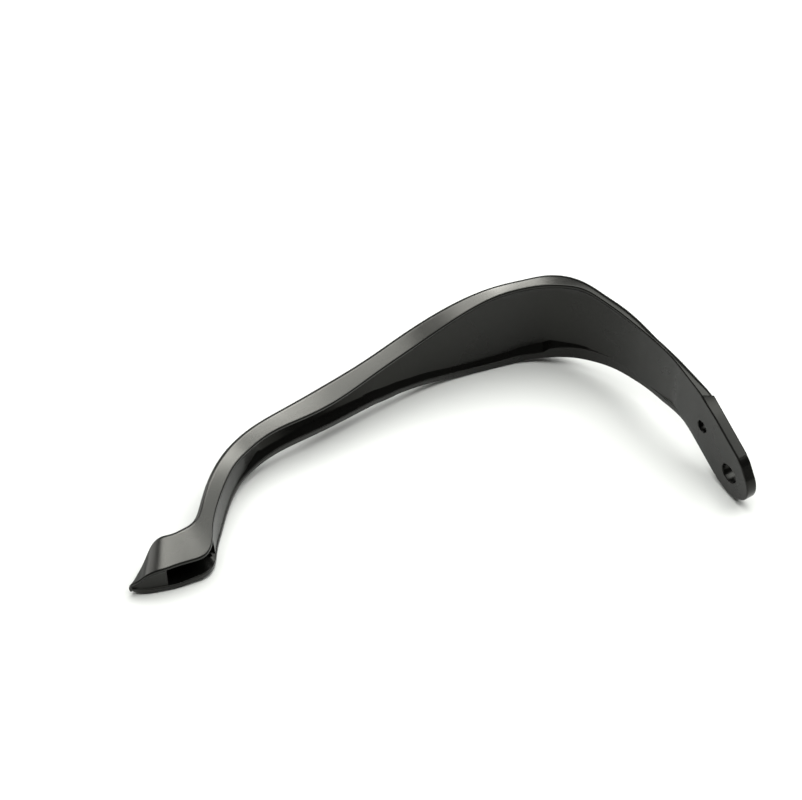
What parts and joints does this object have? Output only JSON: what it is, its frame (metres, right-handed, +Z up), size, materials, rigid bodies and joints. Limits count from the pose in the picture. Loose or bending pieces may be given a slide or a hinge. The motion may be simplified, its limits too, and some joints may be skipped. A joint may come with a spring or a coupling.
{
  "type": "motorcycle hand guard",
  "caption": "Curved one-piece hand guard: a C-section ribbon with a closed end pocket, a slim stem, a tall shield and a solid drilled mounting strap.",
  "frame": {"origin": "centre of the footprint, on the surface that the guard rests on", "axes": "+X runs along the chord from the end pocket to the mounting strap, +Y points away from the rider, +Z up"},
  "size_m": [0.3006, 0.1234, 0.0654],
  "materials": {
    "shell": "moulded black plastic, satin gloss"
  },
  "bodies": {
    "root": {"guard_shell": "shell"}
  },
  "joints": []
}
